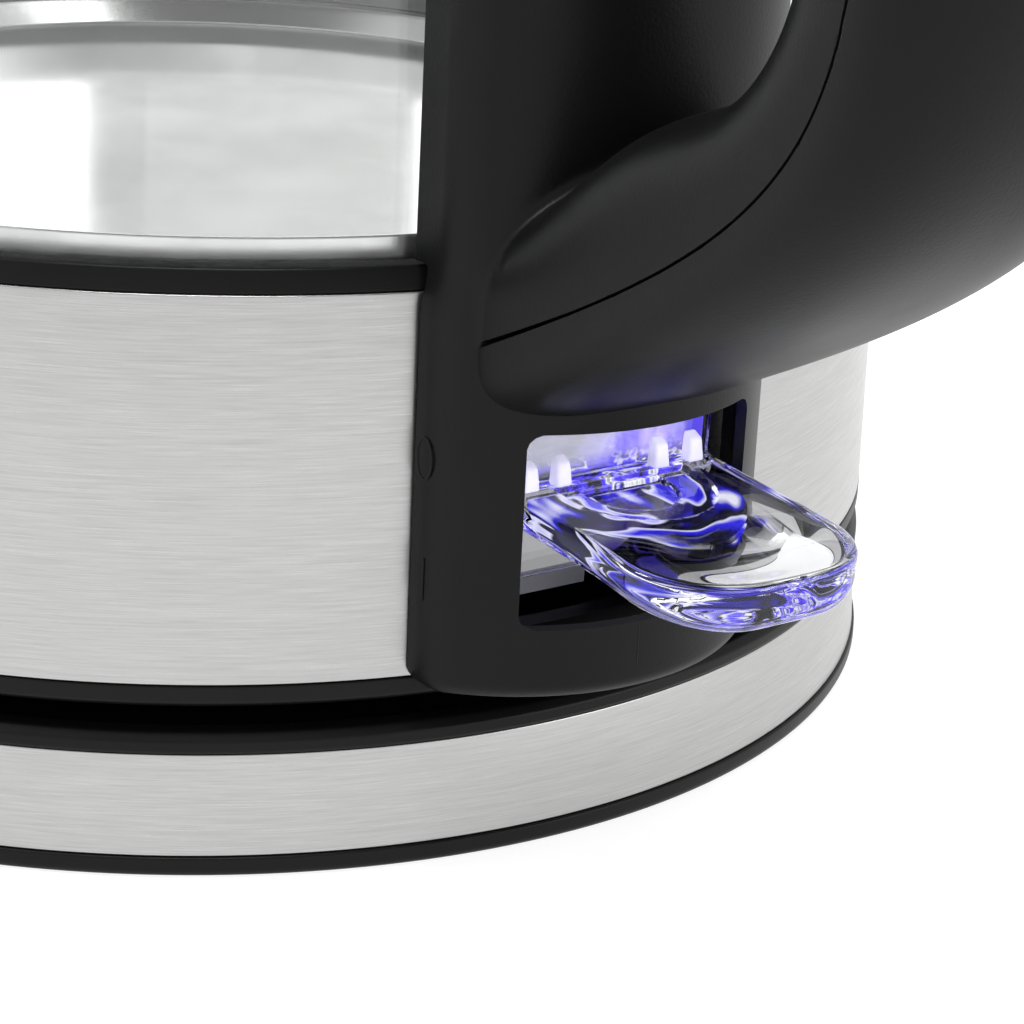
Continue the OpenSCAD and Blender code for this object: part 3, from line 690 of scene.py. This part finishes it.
class Path:
    """Looks up, for any point of the handle's side view, its place along and across the middle line."""

    def __init__(self, line, lower, upper, step=0.5):
        self.lower, self.step = np.array(lower, float), step
        size = np.ceil((np.array(upper) - lower) / step).astype(int) + 2
        x, z = np.meshgrid(*[self.lower[k] + step * np.arange(size[k]) for k in range(2)], indexing="ij")
        self.table = self.measure(line, x.ravel(), z.ravel()).reshape(*size, -1)

    @staticmethod
    def measure(line, x, z):
        """Signed distance across, distance past either end (negative within), and the station's four sizes.

        Away from the ends, the second is a plain negative number, so that the look-up stays smooth.
        """
        a, b = line[:-1, :2], line[1:, :2]
        way = b - a
        long = (way ** 2).sum(1)
        reach = np.sqrt(long)
        made = np.empty((len(x), 6))
        for s in range(0, len(x), 20000):
            p = np.stack([x[s:s + 20000], z[s:s + 20000]], 1)[:, None, :] - a
            raw = (p * way).sum(2) / long
            t = np.clip(raw, 0, 1)
            gap = p - t[..., None] * way
            best = (gap ** 2).sum(2).argmin(1)
            rows = np.arange(len(best))
            w = way[best] / reach[best][:, None]
            r = raw[rows, best]
            last = best == len(a) - 1
            past = np.where(best == 0, -r * reach[0], np.where(last, (r - 1) * reach[-1], -reach[0]))
            side = p[rows, best, 0] * w[:, 1] - p[rows, best, 1] * w[:, 0]
            tt = t[rows, best][:, None]
            sizes = line[best, 2:] * (1 - tt) + line[best + 1, 2:] * tt
            made[s:s + 20000] = np.column_stack([side, past, sizes])
        return made

    def look_up(self, x, z):
        """The table's values at x, z, by cubic interpolation."""
        u, v = (x - self.lower[0]) / self.step, (z - self.lower[1]) / self.step
        i = np.clip(np.floor(u).astype(int), 1, self.table.shape[0] - 3)
        j = np.clip(np.floor(v).astype(int), 1, self.table.shape[1] - 3)
        made = 0
        for a, weight_a in enumerate(self.weights(u - i)):
            for b, weight_b in enumerate(self.weights(v - j)):
                made = made + (weight_a * weight_b)[..., None] * self.table[i + a - 1, j + b - 1]
        return np.moveaxis(made, -1, 0)

    @staticmethod
    def weights(t):
        """Weights of the four neighbours for a smooth curve through them."""
        return ((-t + 2 * t ** 2 - t ** 3) / 2, (2 - 5 * t ** 2 + 3 * t ** 3) / 2,
                (t + 4 * t ** 2 - 3 * t ** 3) / 2, (t ** 3 - t ** 2) / 2)


PATH = Path(handle_line(), (66, 15), (150, 226))


def arm_field(x, y, z):
    """The whole handle, and the signed distance from its seam: positive on the side away from the jug."""
    if x.ndim == 3:
        side, past, inner, outer, half, power = PATH.look_up(x[:, :1, :], z[:, :1, :])
    else:
        side, past, inner, outer, half, power = PATH.look_up(x, z)
    depth = np.where(side > 0, outer, inner)
    power = np.where(side > 0, power, power + 1.6 * np.clip(power - GRIP_POWER, 0, 1))
    a, b = np.maximum(np.abs(side) / depth, 1e-6), np.maximum(np.abs(y) / half, 1e-6)
    s = (a ** power + b ** power) ** (1 / power)
    steep = np.sqrt(((a / s) ** (power - 1) / depth) ** 2 + ((b / s) ** (power - 1) / half) ** 2)
    return meet((s - 1) / steep, past), side


FRONT_X, FRONT_R = 62.8, 26.4   # middle and radius of the housing's rounded front
WINDOW_Y, WINDOW_Z = (-13, 13.6), (27, 46.8)


def spine_field(x, y, z, grow=0.0):
    """Switch housing and spine: a rounded front, straight sides, a back that follows the jug."""
    r = np.sqrt(x * x + y * y)
    rise = np.clip((z - 57) / 5, 0, 1)
    half = HOUSING_W - 0.6 * rise * rise * (3 - 2 * rise)
    front = np.sqrt((x - FRONT_X) ** 2 + y * y) - FRONT_R
    plan = meet(front, np.abs(y) - half, 1.8)
    back = np.where(z < 61.6, WAIST_R + 0.12, np.where(z < 181, GLASS_R + 0.12, COLLAR_R + 0.2))
    plan = meet(meet(plan, back - r), 70 - x)
    ends = meet(HOUSING_Z - z, z - COLLAR_TOP)
    return meet(plan, ends, 1.9) - grow


def window_field(x, y, z):
    """The opening for the switch, with rounded corners, and the hollow behind it."""
    corner = 1.7
    q = [np.abs(c - (l + u) / 2) - (u - l) / 2 + corner for c, l, u in ((y, *WINDOW_Y), (z, *WINDOW_Z))]
    out = np.sqrt(np.maximum(q[0], 0) ** 2 + np.maximum(q[1], 0) ** 2)
    opening = meet(out + np.minimum(np.maximum(*q), 0) - corner, 78 - x)
    r = np.sqrt((x - FRONT_X) ** 2 + y * y)
    wall = 1.4
    hollow = meet(meet(r - (FRONT_R - wall), np.abs(y) - 17.4), meet(22 - z, z - 54), 1.0)
    return join(opening, meet(hollow, 70 - x))


def button_hole(x, y, z, extra):
    """The round hole for the lid button."""
    centre = (low("lid_button", "x") + high("lid_button", "x")) / 2
    radius = (high("lid_button", "x") - low("lid_button", "x")) / 2
    return meet(np.sqrt((x - centre) ** 2 + y * y) - radius - extra, 205 - z)


def latch_slot(x, y, z):
    """The slot that the lid's latch slides in, with room behind it for its travel."""
    travel, gap = 2.6, 0.5
    w, lower, upper = high("lid_latch", "y"), low("lid_latch", "z"), high("lid_latch", "z")
    end = high("lid_latch", "x") + travel + gap
    return box_field(x, y, z, (70, -w - gap, lower - gap), (end, w + gap, upper + gap))


def screw_holes(x, y, z):
    """The holes over the grip's two screws."""
    head_r, hole_r = 2.9, 3.2
    lower, upper = low("handle_screws", "z") + head_r, high("handle_screws", "z") - head_r
    r = np.minimum(np.sqrt(y * y + (z - lower) ** 2), np.sqrt(y * y + (z - upper) ** 2)) - hole_r
    return meet(meet(r, x - low("handle_screws", "x") - 1.4), 105 - x)


def housing_field(x, y, z):
    """Housing, spine and inner half of the handle in one moulding, softly filled where the arms leave it."""
    whole, side = arm_field(x, y, z)
    rise = np.clip(-side / 7, 0, 1)
    soft = 0.5 + rise * rise * (3 - 2 * rise) * (0.6 + 2 * np.clip(1 - (y / 16.5) ** 2, 0, 1) ** 1.5)
    wide = 0.22 * np.clip((97 - x) / 14, 0, 1)
    body = join(spine_field(x, y, z), meet(whole, side + SEAM + wide), soft)
    body = meet(body, -window_field(x, y, z))
    body = meet(body, -latch_slot(x, y, z))
    return meet(body, -screw_holes(x, y, z))


def cover_field(x, y, z):
    """Outer half of the handle, which fits over the housing's face."""
    whole, side = arm_field(x, y, z)
    body = meet(meet(whole, np.where(z > 130, COVER_BACK_TOP, COVER_BACK) - x), SEAM - side)
    body = meet(body, -spine_field(x, y, z, -0.8))
    return meet(body, -button_hole(x, y, z, 0.3))


def build_handle():
    """Both halves of the handle, with the switch housing and the spine."""
    lower = (74, -HOUSING_W - 1.5, HOUSING_Z - 1.5)
    upper = (GRIP_X + 17, HOUSING_W + 1.5, high("handle_cover", "z") + 2)
    formed("handle_body", housing_field, lower, upper, 0.6, "jug", BLACK, ["handle_housing"])
    formed("handle_back", cover_field, (77.5, lower[1], 44), upper, 0.6, "jug", BLACK,
           ["handle_cover"])


# ---- switch paddle ----

PIVOT = (74.0, 0.0, 37.7)
DROOP = math.radians(2.5)
PADDLE_Y = 0.5


def paddle_field(x, y, z):
    """One clear moulding: the plate with its finger dip and stepped recess, the shield, hub, web and tail."""
    dx, dz = x - PIVOT[0], z - PIVOT[2]
    u = dx * math.cos(DROOP) - dz * math.sin(DROOP)
    w = dx * math.sin(DROOP) + dz * math.cos(DROOP)
    tip = PADDLE_TIP - PIVOT[0]
    corner, half_w = 9.6, 12.6
    across = np.abs(y - PADDLE_Y)
    qx, qy = np.maximum(u - (tip - 1.2 - corner), 0), np.maximum(across - (half_w - corner), 0)
    plan = np.maximum(np.sqrt(qx ** 2 + qy ** 2) - corner, 5.8 - u)
    bow = np.sqrt((u - (tip - 34)) ** 2 + across ** 2) - 34
    plan = meet(plan, bow, 1)
    front = np.clip((u - 18) / 18, 0, 1)
    dip = 1.4 * np.exp(-(((u - 28) / 6) ** 2 + (across / 8.5) ** 2) ** 1.4)
    top = w - (2.2 - dip + 0.3 * front)
    under = -w - (1.7 + 1.6 * front * front)
    plate = meet(meet(plan, top, 0.9), under, 2.4)
    for half, end, level in ((7.8, 11.5, 1.5), (4.8, 10.5, 0.8)):
        step = np.where(u > end, np.sqrt((u - end) ** 2 + across ** 2) - half, across - half)
        plate = meet(plate, -meet(meet(step, level - w, 0.2), 8.4 - u), 0.25)
    shield = box_field(u, y, w, (5.8, -half_w, -7.5), (7.1, half_w, 11.5), 0.35)
    made = join(plate, shield, 0.5)
    hub = meet(np.sqrt(u * u + w * w) - 3, np.abs(y) - half_w, 0.3)
    web = box_field(u, y, w, (0, -11, -1.4), (7, 11, 1.4), 0.2)
    tail = box_field(u, y, w, (-12, -2.5, -1), (-1, 2.5, 1), 0.2)
    made = join(join(join(made, hub, 0.3), web, 0.3), tail, 0.3)
    return np.maximum(made, 1.3 - np.sqrt(u * u + w * w))


def build_switch():
    """The clear paddle, the sheet of painted light behind its shield, the posts on it with their painted
    glow, and the bands of painted light and painted reflection inside.
    """
    lower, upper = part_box("switch_paddle")
    a, b = np.array(lower) / MM - 1, np.array(upper) / MM + 1
    formed("switch_clear", paddle_field, a, b, 0.4, "switch", CLEAR, ["switch_paddle"])
    half, bottom, top = 12.4, 30.35, 48.6
    corners = ((-half, bottom), (half, bottom), (half, top), (-half, top))
    points = [(x, y, z) for x in (79.35, 79.55) for y, z in corners]
    faces = [(0, 1, 2, 3), (7, 6, 5, 4), (0, 4, 5, 1), (1, 5, 6, 2), (2, 6, 7, 3), (3, 7, 4, 0)]
    # a sheet of painted light behind the shield
    add_piece("switch_painted_light_sheet", points, faces, "switch", PAINTED_LIGHT_SHEET, smooth=False)
    # posts that glow with painted light
    formed("switch_ribs", ribs_field, (81, -12, 39), (84.2, 12.5, 44), 0.25, "switch", FROSTED_POST_PAINTED_GLOW)
    # bands of painted light and painted reflection inside the paddle
    build_painted_bands()


def build_painted_bands():
    """A thin sheet inside the paddle, with a round front end, that carries the bands of painted light and
    painted reflection.
    """
    start, end, half, level, thick = 81.9, 86, 10.4, 36.3, 0.12
    arc = [(end + half * math.sin(a), PADDLE_Y + half * math.cos(a)) for a in np.linspace(0, math.pi, 25)]
    outline = [(start, PADDLE_Y + half)] + arc + [(start, PADDLE_Y - half)]
    n = len(outline)
    fall = math.tan(DROOP)
    points = [(x, y, level - fall * (x - start) + t) for t in (0, thick) for x, y in outline]
    faces = [tuple(range(n)), tuple(range(2 * n - 1, n - 1, -1))]
    faces += [(i, n + i, n + (i + 1) % n, (i + 1) % n) for i in range(n)]
    add_piece("switch_painted_bands", points, faces, "switch", PAINTED_BANDS, smooth=False)


def ribs_field(x, y, z):
    """Four short posts on the front of the shield, which glow with painted light though they are no lamp."""
    foot, top, back, front = 39.6, 42.6, 81.3, 82.9
    half = 0.95 - 0.08 * (z - foot)
    depth = meet(back - x, x - front + 0.12 * (z - foot))
    height = meet(foot - z, z - top + 0.5 * (x - back))
    made = np.inf
    for at in (-10, -6.2, 5.6, 9.8):
        made = np.minimum(made, meet(meet(np.abs(y - at) - half, depth, 0.3), height, 0.3))
    return made


def add_tube(name, path, closed):
    """A thin raised line along points in mm, on the handle's housing."""
    curve = bpy.data.curves.new(name, "CURVE")
    curve.dimensions = "3D"
    curve.bevel_depth = 0.11 * MM
    curve.bevel_resolution = 3
    line = curve.splines.new("POLY")
    line.points.add(len(path) - 1)
    for point, p in zip(line.points, path):
        point.co = (*(Vector(p) * MM), 1)
    line.use_cyclic_u = closed
    curve.use_fill_caps = True
    obj = bpy.data.objects.new(name, curve)
    bpy.context.scene.collection.objects.link(obj)
    curve.materials.append(BLACK)
    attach(obj, "jug")


def build_marks():
    """Raised marks on the side of the housing, a ring above a bar, and the parting line on its front."""
    y = -HOUSING_W + 0.02
    turn = np.linspace(0, 2 * math.pi, 48)[:-1]
    ring = [(78.3 + 1.2 * math.cos(a), y, 43.2 + 2.1 * math.sin(a)) for a in turn]
    add_tube("mark_off", ring, True)
    add_tube("mark_on", [(78.8, y, 28.9), (78.8, y, 31), (78.8, y, 33.2)], False)
    front = FRONT_X + FRONT_R - 0.08
    line = [(front - 0.51, -1, HOUSING_Z + 1.2), (front, -1, HOUSING_Z + 3), (front, -1, WINDOW_Z[0] - 0.4)]
    add_tube("parting_line", line, False)


# ---- top of the jug and lid ----

HINGE = (70, 211)           # x and z of the lid's hinge pin
KNUCKLE_R, KNUCKLE_W = 4, 13.4
PIN_HOLE_R = 1.55
SPOUT_FOOT = 190            # height at which the spout leaves the collar


def beak_field(x, y, z, inset):
    """The spout: the hull of a small round foot and a wide, pointed mouth."""
    foot = SPOUT_FOOT + 1.2 * inset
    t = np.clip((z - foot) / (COLLAR_TOP - foot), 0, 1.2)
    r1, r2 = 9 + 17 * t - inset, 9 - 4 * t - inset
    far = np.maximum(27 * t, 0.01)
    px, py = -(x - (-66 + 6 * t)), np.abs(y)
    b = np.clip((r1 - r2) / far, -0.999, 0.999)
    a = np.sqrt(1 - b * b)
    along = px * a - py * b
    side = py * a + px * b - r1
    round_end = np.where(along < 0, np.sqrt(px ** 2 + py ** 2) - r1, np.sqrt((px - far) ** 2 + py ** 2) - r2)
    plan = np.where((along >= 0) & (along <= a * far), side, round_end)
    return meet(plan * 0.75, foot - z)


def collar_field(x, y, z):
    """Top collar with its spout, the seat of the filter and the two lugs of the lid's hinge."""
    r = np.sqrt(x * x + y * y)
    cone = (59.6 + (201 - z) * 1.12 - r) * 0.66
    ledge = meet(np.maximum(cone, 59.6 - r), 188.4 - z)
    wall = 75.4 - r
    ring = meet(r - COLLAR_R, meet(182 - z, z - COLLAR_TOP), 1.0)
    ring = meet(ring, np.minimum(ledge, wall))
    lid_seat = meet(r - (LID_R + 0.8), 204.6 - z)
    ring = meet(ring, -lid_seat)
    beak = meet(meet(beak_field(x, y, z, 0.0), z - COLLAR_TOP, 0.9), 74 - r)
    body = join(ring, beak, 2.5)
    body = meet(body, -beak_field(x, y, z, 2.2))
    x0, w = low("spout_filter", "x"), high("spout_filter", "y")
    body = meet(body, -box_field(x, y, z, (x0 - 0.3, -w - 0.3, 195.2), (x0 + 2.7, w + 0.3, 212)))
    hx, hz = HINGE
    inner = KNUCKLE_W + 0.3
    lug = meet(np.abs(y) - 17.5, inner - np.abs(y), 0.5)
    arm = np.sqrt((x - hx) ** 2 + (z - np.clip(z, 205, hz)) ** 2) - KNUCKLE_R
    body = join(body, meet(lug, arm, 0.5), 1.0)
    body = meet(body, -box_field(x, y, z, (hx - 18, -inner, 206.8), (hx + 12, inner, 230)))
    body = meet(body, z - 215.5)
    return meet(body, PIN_HOLE_R - np.sqrt((x - hx) ** 2 + (z - hz) ** 2))


def knuckle_field(x, y, z):
    """The lid's arm, which turns on the hinge pin between the lugs."""
    hx, hz = HINGE
    start, thin, growth = 54, 2.2, 1.8
    t = np.clip((x - start) / (hx - start), 0, 1)
    arm = np.sqrt((x - np.clip(x, start, hx)) ** 2 + (z - (hz + 0.2)) ** 2) - (thin + growth * t)
    arm = meet(arm, np.abs(y) - KNUCKLE_W, 0.6)
    return meet(arm, PIN_HOLE_R - np.sqrt((x - hx) ** 2 + (z - hz) ** 2))


def build_top():
    """Collar with spout and hinge lugs, hinge arm, lid, lid disc and button."""
    r = COLLAR_R + 1.5
    formed("top_ring", collar_field, (-94, -r, 180.5), (r, r, 217), 0.8, "jug", BLACK,
           ["top_collar", "spout_lip"])
    formed("lid_arm", knuckle_field, (48, -15, 205), (76, 15, 217), 0.5, "lid", BLACK)
    turned("lid_top",
           [(0, 209), (60, 209), (60, 206.7), (LID_R, 206.7), (LID_R, 210.2), (LID_R - 2.4, 212.2),
            (52.2, 213.4), (52.2, 212.2), (0, 212.2)],
           [0, 0, 0.3, 0.4, 1.6, 3, 0.6, 0, 0], "lid", BLACK, ["lid_shell"])
    turned("lid_plate",
           [(0, 212.3), (51.8, 212.3), (51.8, 213.2), (50.5, 213.9), (0, 215.6)],
           [0, 0, 0.3, 1.0, 0], "lid", STEEL_LID, ["lid_disc"])
    cap = turned("lid_press",
                 [(0, 211.5), (6.9, 211.5), (6.9, 224), (0, 223.2)],
                 [0, 0.3, 1.3, 0], "button", GREY, ["lid_button"], segments=64)
    centre = (low("lid_button", "x") + 7) * MM
    cap.data.transform(Matrix.Translation((centre, 0, 0)))


# ---- camera, lights and floor ----

CAMERA_FAR, CAMERA_SIDE, CAMERA_UP = 358, -29.5, 142.3     # mm, degrees, mm
HEADING, PITCH, ROLL = 35.64, 20.32, 2.945                # degrees
LENS = 110.9                                              # mm


def add_camera():
    """The photograph's viewing angle: close, from the handle's side and above it."""
    camera = bpy.data.cameras.new("view")
    camera.lens, camera.sensor_width = LENS, 36
    camera.clip_start, camera.clip_end = 0.01, 20
    obj = bpy.data.objects.new("view", camera)
    side, turn, tilt, roll = (math.radians(v) for v in (CAMERA_SIDE, HEADING, PITCH, ROLL))
    ahead = Vector((-math.cos(turn) * math.cos(tilt), math.sin(turn) * math.cos(tilt), -math.sin(tilt)))
    right = Vector((math.sin(turn), math.cos(turn), 0))
    up = right.cross(ahead)
    right, up = right * math.cos(roll) + up * math.sin(roll), up * math.cos(roll) - right * math.sin(roll)
    turned_by = Matrix((right, up, -ahead)).transposed().to_4x4()
    spot = Vector((CAMERA_FAR * math.cos(side), CAMERA_FAR * math.sin(side), CAMERA_UP)) * MM
    obj.matrix_world = Matrix.Translation(spot) @ turned_by
    bpy.context.scene.collection.objects.link(obj)
    bpy.context.scene.camera = obj


def add_light(name, azimuth, elevation, far, size, watts):
    """A soft box that looks at the jug's middle, from a direction in degrees and a distance in metres."""
    lamp = bpy.data.lights.new(name, "AREA")
    lamp.shape, lamp.size, lamp.size_y = "RECTANGLE", size[0], size[1]
    lamp.energy = watts
    obj = bpy.data.objects.new(name, lamp)
    a, e = math.radians(azimuth), math.radians(elevation)
    back = Vector((math.cos(a) * math.cos(e), math.sin(a) * math.cos(e), math.sin(e)))
    obj.location = Vector((0, 0, 0.1)) + back * far
    obj.rotation_euler = back.to_track_quat("Z", "Y").to_euler()
    bpy.context.scene.collection.objects.link(obj)


def add_card(name, centre, size, tone):
    """A grey card out of view, which the polished dish reflects; its place and size are in metres."""
    mat, tree, shader = new_material(name)
    where = stretched(tree, (1, 1, 1))
    shade = ramp(tree, noise(tree, where, 8, 2), [(0, tone * 0.9), (1, tone * 1.1)])
    link(tree, shade, shader.inputs["Base Color"])
    mesh = bpy.data.meshes.new(name)
    w, h = size[0] / 2, size[1] / 2
    mesh.from_pydata([(-w, -h, 0), (w, -h, 0), (w, h, 0), (-w, h, 0)], [], [(0, 1, 2, 3)])
    mesh.materials.append(mat)
    obj = bpy.data.objects.new(name, mesh)
    obj.location = centre
    obj.rotation_euler = (Vector((0, 0, 0.055)) - Vector(centre)).to_track_quat("Z", "Y").to_euler()
    obj.visible_camera = False
    bpy.context.scene.collection.objects.link(obj)


def add_world():
    """Even light from a white room, brighter towards its lower half."""
    world = bpy.data.worlds.new("studio")
    bpy.context.scene.world = world
    world.use_nodes = True
    tree = world.node_tree
    where = node(tree, "ShaderNodeTexCoord")
    parts = node(tree, "ShaderNodeSeparateXYZ")
    link(tree, where.outputs["Generated"], parts.inputs[0])
    sky = ramp(tree, parts.outputs["Z"], [(0.3, 1.0), (0.5, 0.66), (1.0, 0.58)])
    link(tree, sky, tree.nodes["Background"].inputs[0])
    tree.nodes["Background"].inputs["Strength"].default_value = 1.0


def add_studio():
    """Soft boxes above, beside and behind, and two cards."""
    add_light("above", -30, 86, 1.0, (0.25, 0.25), 6)
    add_light("right", 35, 12, 1.2, (0.5, 0.6), 3)
    add_light("behind", 152, 68, 1.1, (0.9, 0.45), 3.5)
    add_light("back_wall", 149, 21, 1.5, (1.3, 0.5), 1.9)
    add_light("side", 240, 48, 1.1, (0.3, 0.3), 6)
    add_card("far_card", (-0.995, 0.595, 0.33), (0.17, 0.09), 0.31)
    add_card("high_card", (-0.348, 0.151, 0.9), (0.2, 0.3), 0.03)


def add_floor():
    """A wide pale floor that glows a little, 8 m on a side."""
    mat, tree, shader = new_material("pale_floor")
    shader.inputs["Base Color"].default_value = (0.3, 0.3, 0.3, 1)
    shader.inputs["Roughness"].default_value = 0.9
    shader.inputs["Specular IOR Level"].default_value = 0.1
    shader.inputs["Emission Color"].default_value = (1, 1, 1, 1)
    shader.inputs["Emission Strength"].default_value = 0.85
    mesh = bpy.data.meshes.new("floor")
    mesh.from_pydata([(-4, -4, 0), (4, -4, 0), (4, 4, 0), (-4, 4, 0)], [], [(0, 1, 2, 3)])
    mesh.materials.append(mat)
    obj = bpy.data.objects.new("floor", mesh)
    bpy.context.scene.collection.objects.link(obj)


dress_nodes()
build_base()
build_jug()
build_waist()
build_handle()
build_switch()
build_marks()
build_top()
add_camera()
add_world()
add_studio()
add_floor()
bpy.context.scene.view_settings.view_transform = "Standard"
